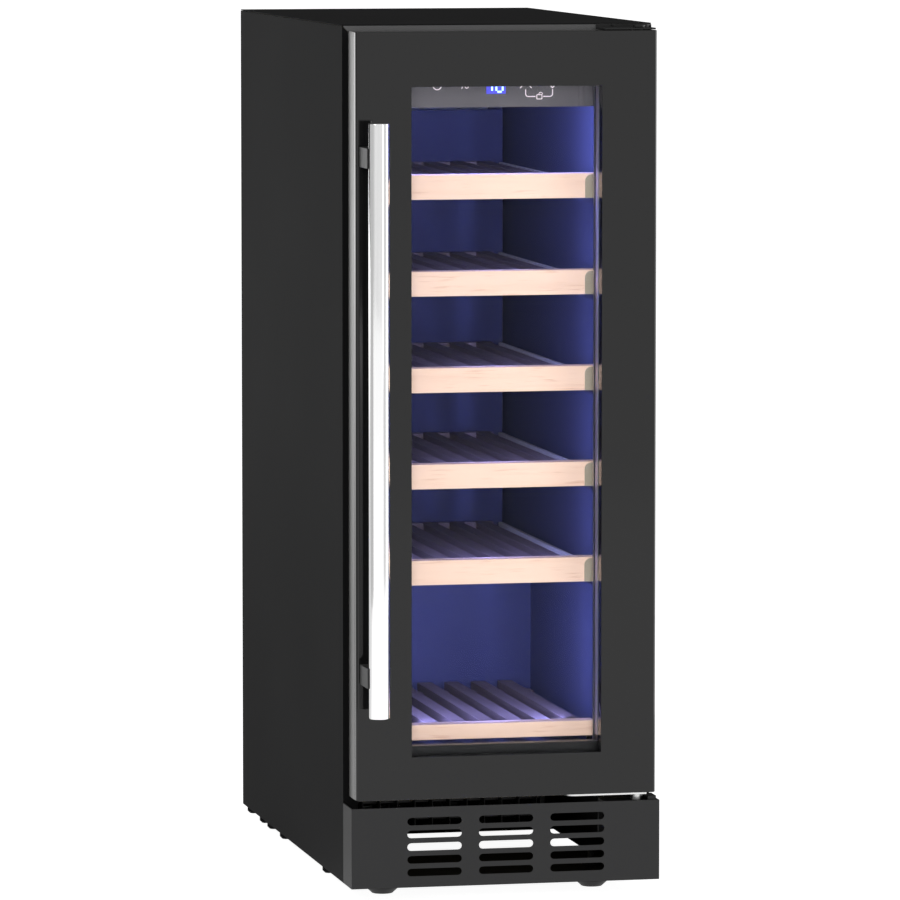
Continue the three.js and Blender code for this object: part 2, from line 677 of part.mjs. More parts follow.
function topHingeBracket() {
  const { bottom, top, from, to, front } = TOP_PLATE;
  const plate = block([from, to], [front, -FIT], [bottom, top]);
  const upstand = block([from, to], [-FIT - SHEET, -FIT], [bottom, HEIGHT - 2 * FIT]);
  const { height, radius, reach, insets } = HINGE_SCREW;
  const places = [from + insets[0], to - insets[1]];
  const screws = places.map((x) => cylinder("y", [x, height], radius, [-reach, -FIT], 10));
  return cut(join(plate, upstand, ...screws), pinHoleAt([bottom - 1, top + 1]));
}

function topHingePin() {
  const { x, y, radius, collar } = PIN;
  const shaft = cylinder("z", [x, y], radius, [DOOR.top - BUSH.length, TOP_PLATE.top + 2.4]);
  return join(shaft, cylinder("z", [x, y], collar, [TOP_PLATE.top + FIT, TOP_PLATE.top + 2.4]));
}

function bottomHingeBracket() {
  const { bottom, top, from, to, front } = LOW_PLATE;
  const plate = block([from, to], [front, -FIT], [bottom, top]);
  const { webLow, webThick } = LOW_PLATE;
  const web = block([from, HALF - KICK.tab - FIT], [-FIT - webThick, -FIT], [webLow, bottom + 1]);
  const stop = block([to - DOOR_STOP.width, to], [front, DOOR_STOP.back], [top - 1, DOOR_STOP.top]);
  return cut(join(plate, web, stop), pinHoleAt([bottom - 1, top + 1]));
}

function bottomHingePin() {
  const { x, y, radius, collar } = PIN;
  const shaft = cylinder("z", [x, y], radius, [LOW_PLATE.bottom - 3, DOOR.bottom + DOOR.wall + BUSH.length]);
  return join(shaft, cylinder("z", [x, y], collar, [LOW_PLATE.top + FIT, DOOR_PLATE.bottom - FIT]));
}

function doorHingePlate() {
  const { bottom, top, from, to, front, back } = DOOR_PLATE;
  const middle = (front + back) / 2;
  const radius = (back - front) / 2;
  const plate = block([from + radius, to], [front, back], [bottom, top]);
  const nose = cylinder("z", [from + radius, middle], radius, [bottom, top]);
  return cut(join(plate, nose), pinHoleAt([bottom - 1, top + 1]));
}

function doorBush(height) {
  const body = cylinder("z", [PIN.x, PIN.y], BUSH.radius, height);
  return cut(body, cylinder("z", [PIN.x, PIN.y], PIN.radius + RUNNING, [height[0] - 1, height[1] + 1]));
}

// ---------------------------------------------------------------- assembly
function addCase(cabinet) {
  piece(cabinet, "side_panel_left", sidePanel(-1), blackSteel);
  piece(cabinet, "side_panel_right", sidePanel(1), blackSteel);
  piece(cabinet, "top_panel", topPanel(), blackSteel);
  piece(cabinet, "back_panel", backPanel(), galvanised);
  piece(cabinet, "rear_grille", rearGrille(), blackSteel);
  piece(cabinet, "rear_spacer_left", rearSpacer(-1), blackPlastic);
  piece(cabinet, "rear_spacer_right", rearSpacer(1), blackPlastic);
  piece(cabinet, "base_pan", basePan(), blackSteel);
  piece(cabinet, "kickplate", kickplate(), blackSteel);
  piece(cabinet, "inner_liner", innerLiner(), linerBlue);
  piece(cabinet, "insulation_foam", insulationFoam(), foamYellow);
  piece(cabinet, "control_panel", controlPanel(), greyPlastic);
  piece(cabinet, "control_board", controlBoard(), boardGreen);
  piece(cabinet, "led_strip", ledStrip(), lampWhite);
}

function addFan(cabinet, name, fan) {
  piece(cabinet, `${name}_fan_frame`, fanFrame(fan), blackPlastic);
  const wheel = new THREE.Group();
  wheel.position.set(fan.x, fan.y + 2, fan.z);
  piece(wheel, `${name}_fan_rotor`, fanRotor(fan), blackPlastic);
  cabinet.add(wheel);
}

function addMachine(cabinet) {
  piece(cabinet, "evaporator_cover", evaporatorCover(), linerBlue);
  piece(cabinet, "evaporator_plate", evaporatorPlate(), galvanised);
  addFan(cabinet, "circulation", INNER_FAN);
  addFan(cabinet, "condenser", OUTER_FAN);
  const pot = new THREE.Group();
  pot.position.set(COMPRESSOR.x, COMPRESSOR.y, COMPRESSOR.base);
  pot.scale.set(COMPRESSOR.stretch, 1, 1);
  piece(pot, "compressor", compressor(), blackSteel);
  cabinet.add(pot);
  piece(cabinet, "compressor_bracket", compressorBracket(), galvanised);
  piece(cabinet, "drip_tray", dripTray(), blackPlastic);
  piece(cabinet, "condenser_coil", condenserCoil(), blackSteel);
  piece(cabinet, "drier_filter", drierFilter(), copper);
  piece(cabinet, "suction_line", suctionLine(), copper);
  piece(cabinet, "electrical_box", electricalBox(), blackPlastic);
  piece(cabinet, "power_inlet", powerInlet(), blackPlastic);
}

function addShelves(cabinet) {
  for (let number = 1; number <= SHELF_COUNT; number += 1) {
    const level = new THREE.Group();
    level.position.z = SHELF.first + (SHELF_COUNT - number) * SHELF.pitch;
    piece(level, `shelf_${number}_rack`, shelfRack(), beech);
    piece(level, `shelf_${number}_runners`, shelfRunners(), greyPlastic);
    cabinet.add(level);
  }
  const low = new THREE.Group();
  low.position.z = BOTTOM_SHELF.bottom;
  piece(low, "bottom_shelf_rack", bottomShelf(), beech);
  cabinet.add(low);
}

function addFeet(cabinet) {
  eachFoot((name, x, y) => {
    const foot = new THREE.Group();
    foot.position.set(x, y, 0);
    piece(foot, name, levellingFoot(), blackPlastic);
    cabinet.add(foot);
  });
}

function addDoor(cabinet) {
  const door = new THREE.Group();
  piece(door, "door_frame", doorFrame(), satinGrey);
  piece(door, "door_front_panel", doorFrontPanel(), doorBlack);
  piece(door, "glass_outer", glassPane(GLASS.front), clearGlass);
  const inner = GLASS.front + GLASS.thick + GLASS.spacerDepth + 2 * FIT;
  piece(door, "glass_inner", glassPane(inner), clearGlass);
  piece(door, "glass_spacer", glassSpacer(), satinGrey);
  piece(door, "door_gasket", doorGasket(), rubberBlack);
  piece(door, "handle_bar", handleBar(), brightSteel);
  piece(door, "handle_post_upper", handlePost(POST.upper), blackSteel);
  piece(door, "handle_post_lower", handlePost(POST.lower), blackSteel);
  piece(door, "door_hinge_plate", doorHingePlate(), brightSteel);
  piece(door, "door_bush_top", doorBush([DOOR.top - BUSH.length, DOOR.top - FIT]), blackPlastic);
  const seat = DOOR.bottom + DOOR.wall + FIT;
  piece(door, "door_bush_bottom", doorBush([seat, seat + BUSH.length - 1]), blackPlastic);
  cabinet.add(door);
}

function addHinges(cabinet) {
  piece(cabinet, "top_hinge_bracket", topHingeBracket(), blackSteel);
  piece(cabinet, "top_hinge_pin", topHingePin(), brightSteel);
  piece(cabinet, "bottom_hinge_bracket", bottomHingeBracket(), blackSteel);
  piece(cabinet, "bottom_hinge_pin", bottomHingePin(), brightSteel);
}

function wineCooler() {
  const cabinet = new THREE.Group();
  addCase(cabinet);
  addMachine(cabinet);
  addShelves(cabinet);
  addFeet(cabinet);
  addDoor(cabinet);
  addHinges(cabinet);
  const frontmost = HANDLE.y - HANDLE.radius;
  cabinet.position.y = -(frontmost + SPACER.reach) / 2;
  const cooler = new THREE.Group();
  cooler.add(cabinet);
  return cooler;
}

export default wineCooler();
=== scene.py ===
"""A narrow under-counter wine cooler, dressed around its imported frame.

Metres, +Z up, front towards -Y. The CAD nodes keep their places; this script gives them softened
edges and materials, and adds the fine pieces: handle, feet, screws, fan wheels, compressor can, inlet
pins and the control panel's display and signs.
"""
import math

import bmesh
import bpy
from mathutils import Euler, Matrix, Vector


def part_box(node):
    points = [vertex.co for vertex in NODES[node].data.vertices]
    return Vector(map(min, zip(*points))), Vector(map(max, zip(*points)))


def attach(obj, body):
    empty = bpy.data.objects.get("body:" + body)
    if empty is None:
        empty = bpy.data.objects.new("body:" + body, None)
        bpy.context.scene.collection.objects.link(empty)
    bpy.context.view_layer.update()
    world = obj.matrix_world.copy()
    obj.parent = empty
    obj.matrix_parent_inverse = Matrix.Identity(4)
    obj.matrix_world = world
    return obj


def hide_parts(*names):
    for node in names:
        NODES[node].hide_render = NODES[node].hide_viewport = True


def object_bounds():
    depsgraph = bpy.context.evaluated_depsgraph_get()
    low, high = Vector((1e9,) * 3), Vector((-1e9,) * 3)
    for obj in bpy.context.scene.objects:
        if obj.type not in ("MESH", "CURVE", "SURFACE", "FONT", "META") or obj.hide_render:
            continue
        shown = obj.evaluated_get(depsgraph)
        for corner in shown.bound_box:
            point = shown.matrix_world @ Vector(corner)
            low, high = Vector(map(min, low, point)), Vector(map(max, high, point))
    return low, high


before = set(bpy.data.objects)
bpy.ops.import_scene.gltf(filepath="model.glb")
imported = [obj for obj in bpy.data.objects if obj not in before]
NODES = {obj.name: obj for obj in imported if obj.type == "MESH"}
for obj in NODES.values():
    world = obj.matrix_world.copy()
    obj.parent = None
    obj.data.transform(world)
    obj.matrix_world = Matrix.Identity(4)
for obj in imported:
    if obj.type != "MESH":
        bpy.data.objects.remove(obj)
CAD_LOW, CAD_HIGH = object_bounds()

MM = 0.001

# ---------------------------------------------------------------- mesh helpers


def from_bmesh(name, bm, material, body, smooth=35):
    """A finished piece from a bmesh: shaded, given its material, and riding on its body."""
    bmesh.ops.recalc_face_normals(bm, faces=bm.faces)
    mesh = bpy.data.meshes.new(name)
    bm.to_mesh(mesh)
    bm.free()
    mesh.shade_smooth()
    mesh.set_sharp_from_angle(angle=math.radians(smooth))
    piece = bpy.data.objects.new(name, mesh)
    bpy.context.scene.collection.objects.link(piece)
    mesh.materials.append(material)
    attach(piece, body)
    return piece


def lathe(bm, profile, centre, axis="Z", sides=48):
    """Adds a solid turned about Z or Y: profile is (radius, height) points from axis to axis."""
    rings = []
    for radius, height in profile:
        if radius < 1e-9:
            rings.append([bm.verts.new((0, 0, height))])
            continue
        turn = [2 * math.pi * k / sides for k in range(sides)]
        rings.append([bm.verts.new((radius * math.cos(a), radius * math.sin(a), height)) for a in turn])
    for low, high in zip(rings, rings[1:]):
        for k in range(sides):
            after = (k + 1) % sides
            corners = [low[k % len(low)], low[after % len(low)], high[after % len(high)], high[k % len(high)]]
            unique = list(dict.fromkeys(corners))
            if len(unique) > 2:
                bm.faces.new(unique)
    made = [v for ring in rings for v in ring]
    turn = Matrix.Rotation(-math.pi / 2, 4, "X") if axis == "Y" else Matrix()
    bmesh.ops.transform(bm, matrix=Matrix.Translation(centre) @ turn, verts=made)
    return made


def slab(bm, low, high, bevel):
    """Adds a box between two corners, with its edges rounded by bevel."""
    low, high = Vector(low), Vector(high)
    made = bmesh.ops.create_cube(bm, size=1)["verts"]
    place = Matrix.Translation((low + high) / 2) @ Matrix.Diagonal((*(high - low), 1))
    bmesh.ops.transform(bm, matrix=place, verts=made)
    edges = {e for v in made for e in v.link_edges}
    bmesh.ops.bevel(bm, geom=list(edges), offset=bevel, segments=2, affect="EDGES", profile=0.5)


def extruded(bm, outline, depth, place):
    """Adds a flat outline in the XY plane, given depth along Z, then moved by a matrix."""
    base = [bm.verts.new((x, y, 0)) for x, y in outline]
    top = [bm.verts.new((x, y, depth)) for x, y in outline]
    bm.faces.new(base[::-1])
    bm.faces.new(top)
    for k in range(len(base)):
        after = (k + 1) % len(base)
        bm.faces.new((base[k], base[after], top[after], top[k]))
    bmesh.ops.transform(bm, matrix=place, verts=base + top)


def arc(centre, radius, start, end, steps=10):
    """Points on an arc, with its angles in degrees."""
    angles = [math.radians(start + (end - start) * k / steps) for k in range(steps + 1)]
    return [(centre[0] + radius * math.cos(a), centre[1] + radius * math.sin(a)) for a in angles]


# ---------------------------------------------------------------- material helpers


class Shader:
    """A Principled material with a few named node shortcuts."""

    def __init__(self, name, **values):
        self.material = bpy.data.materials.new(name)
        self.material.use_nodes = True
        self.tree = self.material.node_tree
        self.surface = self.tree.nodes["Principled BSDF"]
        self.output = self.tree.nodes["Material Output"]
        for key, value in values.items():
            self.surface.inputs[key.replace("_", " ")].default_value = value
        self.coords = self.node("ShaderNodeTexCoord").outputs["Object"]

    def node(self, kind, **settings):
        made = self.tree.nodes.new(kind)
        for key, value in settings.items():
            if key in made.inputs:
                made.inputs[key].default_value = value
            else:
                setattr(made, key, value)
        return made

    def link(self, source, target):
        self.tree.links.new(source, target)

    def stretched(self, scale):
        mapping = self.node("ShaderNodeMapping")
        mapping.inputs["Scale"].default_value = scale
        self.link(self.coords, mapping.inputs["Vector"])
        return mapping.outputs["Vector"]

    def noise(self, scale, detail=3.0, roughness=0.55, stretch=None, distortion=0.0):
        made = self.node("ShaderNodeTexNoise", Scale=scale, Detail=detail, Roughness=roughness)
        made.inputs["Distortion"].default_value = distortion
        self.link(self.stretched(stretch) if stretch else self.coords, made.inputs["Vector"])
        return made.outputs["Fac"]

    def ramp(self, factor, stops, interpolation="LINEAR"):
        made = self.node("ShaderNodeValToRGB")
        made.color_ramp.interpolation = interpolation
        elements = made.color_ramp.elements
        while len(elements) < len(stops):
            elements.new(0.5)
        for element, (place, colour) in zip(elements, stops):
            element.position = place
            element.color = (*colour, 1)
        self.link(factor, made.inputs["Fac"])
        return made.outputs["Color"]

    def span(self, factor, low, high, start=0.0, end=1.0):
        made = self.node("ShaderNodeMapRange")
        made.inputs["From Min"].default_value = start
        made.inputs["From Max"].default_value = end
        made.inputs["To Min"].default_value = low
        made.inputs["To Max"].default_value = high
        self.link(factor, made.inputs["Value"])
        return made.outputs["Result"]

    def mix(self, factor, first, second, blend="MIX"):
        made = self.node("ShaderNodeMix", data_type="RGBA", blend_type=blend)
        for socket, value in ((made.inputs[0], factor), (made.inputs[6], first), (made.inputs[7], second)):
            if isinstance(value, bpy.types.NodeSocket):
                self.link(value, socket)
            else:
                socket.default_value = value if isinstance(value, float) else (*value, 1)
        return made.outputs[2]

    def bump(self, height, distance, strength):
        made = self.node("ShaderNodeBump")
        made.inputs["Strength"].default_value = strength
        made.inputs["Distance"].default_value = distance
        self.link(height, made.inputs["Height"])
        self.link(made.outputs["Normal"], self.surface.inputs["Normal"])

    def maths(self, operation, first, second):
        """One Math node; each input is a number or another node's output."""
        made = self.node("ShaderNodeMath", operation=operation)
        for socket, value in zip(made.inputs, (first, second)):
            if isinstance(value, bpy.types.NodeSocket):
                self.link(value, socket)
            else:
                socket.default_value = value
        return made.outputs[0]

    def place(self, axis):
        """The piece's own coordinate along one axis."""
        made = self.node("ShaderNodeSeparateXYZ")
        self.link(self.coords, made.inputs["Vector"])
        return made.outputs[axis]

    def colour(self, source):
        self.link(source, self.surface.inputs["Base Color"])

    def rough(self, source):
        self.link(source, self.surface.inputs["Roughness"])


def painted(name, dark, light, rough, specular, peel=2e-6):
    """Powder-coated steel: a fine orange peel, and a slow drift of tone and gloss."""
    s = Shader(name, Specular_IOR_Level=specular)
    drift = s.noise(3.0, detail=2.0)
    speckle = s.ramp(s.noise(2200.0, detail=1.0), [(0.35, dark), (0.65, light)])
    s.colour(s.mix(0.5, s.ramp(drift, [(0.2, dark), (0.8, light)]), speckle))
    s.rough(s.span(drift, rough - 0.02, rough + 0.02, 0.2, 0.8))
    s.bump(s.noise(1300.0, detail=1.0), peel, 0.35)
    return s.material


def lid_paint_lip_highlight(name, lip_top):
    """The top panel's paint: matt and dark above; the folded front lip is drawn much paler, a painted
    highlight for the light on it.
    """
    s = Shader(name, Specular_IOR_Level=0.12)
    above = s.maths("GREATER_THAN", s.place("Z"), lip_top)
    speckle = s.noise(2200.0, detail=1.0)
    lid = s.ramp(speckle, [(0.35, (0.007, 0.007, 0.0073)), (0.65, (0.0095, 0.0095, 0.0098))])
    # The lip's pale grey is a painted highlight: the same black steel drawn as if lit.
    lip_painted_highlight = s.ramp(speckle, [(0.35, (0.13, 0.13, 0.131)), (0.65, (0.142, 0.142, 0.143))])
    s.colour(s.mix(above, lip_painted_highlight, lid))
    s.rough(s.span(s.noise(3.0), 0.47, 0.53, 0.2, 0.8))
    s.bump(s.noise(1300.0, detail=1.0), 2e-6, 0.35)
    return s.material


def spacer_painted_light_and_shade(name, front, back, sill):
    """The bar between the panes, banded by depth with painted light and shade: pale bands at the sides are
    painted highlights of its lit faces, the black band among them is painted shade in a gap, and the black
    along the sill is painted shade of the recess.
    """
    s = Shader(name, Metallic=0.35, Roughness=0.4)
    across = s.span(s.place("Y"), 0.0, 1.0, front, back)
    # Pale stops are painted highlights; the black stop at 0.5 is painted shade in a gap.
    stops = [(0.0, (0.2, 0.22, 0.2)), (0.16, (0.36, 0.31, 0.31)), (0.5, (0.03, 0.03, 0.03)),
             (0.62, (0.4, 0.32, 0.31)), (0.82, (0.24, 0.2, 0.22))]
    painted_light_bands = s.ramp(across, stops, "CONSTANT")
    # Below the sill line the bar is black: painted shade of the recess under the window.
    above = s.maths("GREATER_THAN", s.place("Z"), sill)
    bands_and_sill_shade = s.mix(above, (0.012, 0.012, 0.012), painted_light_bands)
    fine = s.ramp(s.noise(800.0, stretch=(1, 1, 0.03)), [(0.3, (0.8, 0.8, 0.8)), (0.7, (1, 1, 1))])
    s.colour(s.mix(1.0, bands_and_sill_shade, fine, "MULTIPLY"))
    return s.material


def steel(name, colour, rough, along, scratch=2e-6):
    """Drawn or polished metal whose fine lines run along one axis."""
    s = Shader(name, Metallic=1.0)
    lines = s.noise(900.0, detail=4.0, stretch=along)
    pale = tuple(min(1.0, c * 1.08) for c in colour)
    s.colour(s.ramp(lines, [(0.3, colour), (0.7, pale)]))
    s.rough(s.span(lines, rough - 0.04, rough + 0.05, 0.3, 0.7))
    s.bump(lines, scratch, 0.4)
    return s.material


def plastic(name, dark, light, rough, grain=8e-6, grain_scale=1100.0):
    """Moulded plastic with a fine spark-eroded grain."""
    s = Shader(name, Specular_IOR_Level=0.4)
    s.colour(s.ramp(s.noise(30.0, detail=3.0), [(0.3, dark), (0.7, light)]))
    s.rough(s.span(s.noise(200.0), rough - 0.05, rough + 0.07, 0.3, 0.7))
    s.bump(s.noise(grain_scale, detail=2.0), grain, 0.6)
    return s.material


def rubber(name, colour):
    s = Shader(name, Specular_IOR_Level=0.3)
    pale = tuple(c * 1.5 for c in colour)
    s.colour(s.ramp(s.noise(90.0, detail=5.0), [(0.35, colour), (0.7, pale)]))
    s.rough(s.span(s.noise(400.0), 0.62, 0.82, 0.3, 0.7))
    s.bump(s.noise(700.0), 1e-5, 0.5)
    return s.material


def wood_grain(s, along, tones):
    """Colour and relief of beech: long grain, with darker pores as short flecks."""
    fine = {"X": (4, 90, 90), "Y": (90, 4, 90)}[along]
    fleck = {"X": (30, 420, 420), "Y": (420, 30, 420)}[along]
    grain = s.noise(1.0, detail=6.0, roughness=0.6, stretch=fine, distortion=0.3)
    flecks = s.noise(1.0, detail=2.0, stretch=fleck)
    pale, middle, dark = tones
    wood = s.ramp(grain, [(0.25, middle), (0.5, pale), (0.8, middle)])
    marks = s.ramp(flecks, [(0.6, (1, 1, 1)), (0.72, dark)])
    return s.mix(0.35, wood, marks, "MULTIPLY"), flecks


def shelf_wood(name, board_tones, slat_shade_tones, board_back):
    """Pale beech with its grain across on the front board; behind it the slats run their grain back and are
    drawn far darker, painted shade, as they are the same beech.
    """
    s = Shader(name, Specular_IOR_Level=0.3)
    front, front_marks = wood_grain(s, "X", board_tones)
    slats_painted_shade, slat_marks = wood_grain(s, "Y", slat_shade_tones)
    behind = s.maths("GREATER_THAN", s.place("Y"), board_back)
    # Behind the front board the colour turns to the painted-shade slat tones.
    s.colour(s.mix(behind, front, slats_painted_shade))
    s.rough(s.span(front_marks, 0.5, 0.66, 0.2, 0.8))
    s.bump(s.mix(behind, front_marks, slat_marks), 2e-5, 0.4)
    return s.material


def clear_glass(name, tint):
    """Flat glass that lamps shine through."""
    s = Shader(name, Transmission_Weight=1.0, Roughness=0.0, IOR=1.1)
    s.surface.inputs["Base Color"].default_value = (*tint, 1)
    through = s.node("ShaderNodeBsdfTransparent")
    through.inputs["Color"].default_value = (*tint, 1)
    shadow = s.node("ShaderNodeLightPath").outputs["Is Shadow Ray"]
    either = s.node("ShaderNodeMixShader")
    s.link(shadow, either.inputs["Fac"])
    s.link(s.surface.outputs["BSDF"], either.inputs[1])
    s.link(through.outputs["BSDF"], either.inputs[2])
    s.link(either.outputs["Shader"], s.output.inputs["Surface"])
    return s.material


def glowing(name, colour, strength, base):
    s = Shader(name, Roughness=0.4)
    s.surface.inputs["Emission Color"].default_value = (*colour, 1)
    s.surface.inputs["Emission Strength"].default_value = strength
    pale = tuple(min(1.0, c * 1.1) for c in base)
    s.colour(s.ramp(s.noise(300.0), [(0.4, base), (0.6, pale)]))
    return s.material


def galvanised(name):
    """Zinc-coated sheet with its spangle."""
    s = Shader(name, Metallic=0.9)
    cells = s.node("ShaderNodeTexVoronoi", Scale=90.0)
    s.link(s.coords, cells.inputs["Vector"])
    spangle = cells.outputs["Color"]
    grey = s.node("ShaderNodeRGBToBW")
    s.link(spangle, grey.inputs["Color"])
    s.colour(s.ramp(grey.outputs["Val"], [(0.2, (0.36, 0.37, 0.38)), (0.8, (0.52, 0.53, 0.55))]))
    s.rough(s.span(grey.outputs["Val"], 0.35, 0.55, 0.2, 0.8))
    s.bump(s.noise(300.0), 5e-6, 0.4)
    return s.material


def foam(name):
    s = Shader(name, Specular_IOR_Level=0.2, Roughness=0.95)
    cells = s.node("ShaderNodeTexVoronoi", Scale=700.0)
    s.link(s.coords, cells.inputs["Vector"])
    s.colour(s.ramp(s.noise(25.0), [(0.3, (0.62, 0.52, 0.28)), (0.7, (0.78, 0.68, 0.42))]))
    s.bump(cells.outputs["Distance"], 3e-4, 0.6)
    return s.material


def board(name):
    """A circuit board: solder mask with paler tracks."""
    s = Shader(name, Roughness=0.35)
    cells = s.node("ShaderNodeTexBrick", Scale=160.0)
    s.link(s.coords, cells.inputs["Vector"])
    s.colour(s.ramp(cells.outputs["Fac"], [(0.4, (0.015, 0.1, 0.04)), (0.6, (0.05, 0.2, 0.09))]))
    return s.material


BOARD_TONES = ((0.86, 0.615, 0.455), (0.78, 0.53, 0.38), (0.6, 0.38, 0.27))
# The same beech as the boards, made dark: painted shade on the slats.
SLAT_PAINTED_SHADE_TONES = ((0.09, 0.064, 0.047), (0.068, 0.048, 0.035), (0.5, 0.4, 0.35))
BOARD_DEPTH = 18 * MM
SPACER_LOW, SPACER_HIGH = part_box("glass_spacer")
BOARD_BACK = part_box("bottom_shelf_rack")[0].y + BOARD_DEPTH + 0.5 * MM

MATERIALS = {
    "case": painted("case_paint", (0.0085, 0.0085, 0.0088), (0.0105, 0.0105, 0.0108), 0.6, 0.03),
    # The kickplate is a paler copy of the black case paint: painted light on its face that looks forward.
    "kick": painted("kick_paint_painted_light", (0.041, 0.041, 0.0415), (0.047, 0.047, 0.0475), 0.5, 0.15),
    "lid": lid_paint_lip_highlight("lid_paint_lip_highlight", CAD_HIGH.z - 1.2 * MM),
    "door": painted("door_paint", (0.006, 0.006, 0.0062), (0.008, 0.008, 0.0082), 0.06, 0.42, 4e-7),
    "black_metal": painted("black_metal", (0.008, 0.008, 0.008), (0.012, 0.012, 0.012), 0.4, 0.35),
    "post": painted("post_paint", (0.03, 0.03, 0.03), (0.036, 0.036, 0.036), 0.4, 0.3),
    "spacer": spacer_painted_light_and_shade("spacer_painted_light_and_shade", SPACER_LOW.y, SPACER_HIGH.y, SPACER_LOW.z + 20 * MM),
    "satin": steel("satin_metal", (0.285, 0.285, 0.281), 0.33, (1, 1, 0.02)),
    "bright": steel("polished_steel", (0.97, 0.97, 0.97), 0.1, (1, 1, 0.01), scratch=4e-7),
    "hinge": steel("plated_steel", (0.8, 0.8, 0.79), 0.3, (0.05, 1, 1)),
    "zinc": galvanised("zinc_sheet"),
    "copper": steel("copper_tube", (0.62, 0.28, 0.14), 0.32, (1, 1, 1)),
    "liner": plastic("liner_plastic", (0.032, 0.033, 0.045), (0.036, 0.037, 0.05), 0.5, 2e-6, 500.0),
    "grey": plastic("grey_plastic", (0.105, 0.097, 0.1), (0.115, 0.107, 0.11), 0.5, 3e-6),
    # A darker grey for the panel's end caps: painted shade standing for a recess.
    "painted_shade_grey": plastic("painted_shade_grey_plastic", (0.085, 0.08, 0.083), (0.096, 0.091, 0.094), 0.5),
    "tab": plastic("tab_plastic", (0.32, 0.28, 0.2), (0.36, 0.315, 0.23), 0.5),
    "black": plastic("black_plastic", (0.011, 0.011, 0.011), (0.016, 0.016, 0.016), 0.5),
    "rubber": rubber("seal_rubber", (0.011, 0.011, 0.012)),
    "glass": clear_glass("pane_glass", (0.95, 0.96, 0.98)),
    "foam": foam("foam"),
    "board": board("circuit_board"),
    "wood": shelf_wood("beech_shelf", BOARD_TONES, SLAT_PAINTED_SHADE_TONES, BOARD_BACK),
    "lamp": glowing("lamp_lens", (0.3, 0.4, 1.0), 2.0, (0.6, 0.65, 0.9)),
    "digit": glowing("digit_cyan", (0.45, 0.75, 1.0), 2.2, (0.4, 0.6, 0.9)),
    "display": glowing("display_blue", (0.1, 0.1, 0.85), 0.9, (0.05, 0.05, 0.3)),
    # Print is no lamp: the glow of the signs is painted light.
    "symbol": glowing("symbol_print_painted_glow", (1.0, 0.86, 0.88), 0.75, (0.5, 0.45, 0.46)),
    "shell": painted("compressor_enamel", (0.012, 0.012, 0.013), (0.018, 0.018, 0.019), 0.3, 0.5),
}

# ---------------------------------------------------------------- dressing the CAD nodes


def soften(node, width):
    """Rounds a CAD node's edges with modifiers, which leave its own mesh as packed."""
    o = NODES[node]
    o.data.shade_smooth()
    weld = o.modifiers.new("weld", "WELD")
    weld.merge_threshold = 1e-5
    bevel = o.modifiers.new("bevel", "BEVEL")
    bevel.width = width
    bevel.segments = 2
    bevel.limit_method = "ANGLE"
    bevel.angle_limit = math.radians(40)
    bevel.miter_outer = "MITER_ARC"
    normals = o.modifiers.new("normals", "WEIGHTED_NORMAL")
    normals.keep_sharp = False


def dress(material, edge, *nodes):
    for node in nodes:
        o = NODES[node]
        o.data.materials.clear()
        o.data.materials.append(MATERIALS[material])
        if edge:
            soften(node, edge)


SHELVES = range(1, 6)
dress("case", 0.6 * MM, "side_panel_left", "side_panel_right")
dress("lid", 0.6 * MM, "top_panel")
dress("kick", 0.3 * MM, "kickplate")
dress("case", 0.3 * MM, "rear_grille", "base_pan")
dress("zinc", 0.2 * MM, "back_panel", "evaporator_plate", "compressor_bracket")
dress("door", 0.5 * MM, "door_front_panel")
dress("satin", 0.3 * MM, "door_frame")
dress("spacer", 0, "glass_spacer")
dress("glass", 0, "glass_outer", "glass_inner")
dress("rubber", 0.4 * MM, "door_gasket")
dress("post", 0.25 * MM, "handle_post_upper", "handle_post_lower")
dress("black_metal", 0.3 * MM, "top_hinge_bracket", "bottom_hinge_bracket", "condenser_coil")
dress("shell", 0, "compressor")
dress("hinge", 0.2 * MM, "door_hinge_plate", "bottom_hinge_pin")
dress("black_metal", 0.2 * MM, "top_hinge_pin")
dress("liner", 0.5 * MM, "inner_liner", "evaporator_cover")
dress("foam", 0, "insulation_foam")
dress("grey", 0.4 * MM, "control_panel")
dress("tab", 0.3 * MM, *(f"shelf_{n}_runners" for n in SHELVES))
dress("wood", 0.8 * MM, "bottom_shelf_rack", *(f"shelf_{n}_rack" for n in SHELVES))
dress("board", 0, "control_board")
dress("lamp", 0.3 * MM, "led_strip")
dress("copper", 0.2 * MM, "drier_filter", "suction_line")
dress("black", 0.3 * MM, "rear_spacer_left", "rear_spacer_right", "drip_tray", "electrical_box")
dress("black", 0.3 * MM, "circulation_fan_frame", "circulation_fan_rotor", "power_inlet")
dress("black", 0.3 * MM, "condenser_fan_frame", "condenser_fan_rotor")
dress("black", 0.2 * MM, "door_bush_top", "door_bush_bottom")

# ---------------------------------------------------------------- handle and feet


def handle_bar():
    low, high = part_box("handle_bar")
    centre = (low + high) / 2
    radius = (high.x - low.x) / 2
    half = (high.z - low.z) / 2
    edge = 1.0 * MM
    corner = [(radius - edge + edge * math.sin(a), half - edge + edge * math.cos(a))
              for a in (math.radians(d) for d in (0, 22.5, 45, 67.5, 90))]
    profile = [(0, half)] + corner + [(r, -h) for r, h in reversed(corner)] + [(0, -half)]
    bm = bmesh.new()
    lathe(bm, profile, centre, sides=96)
    piece = from_bmesh("handle_tube", bm, MATERIALS["bright"], "door")
    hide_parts("handle_bar")


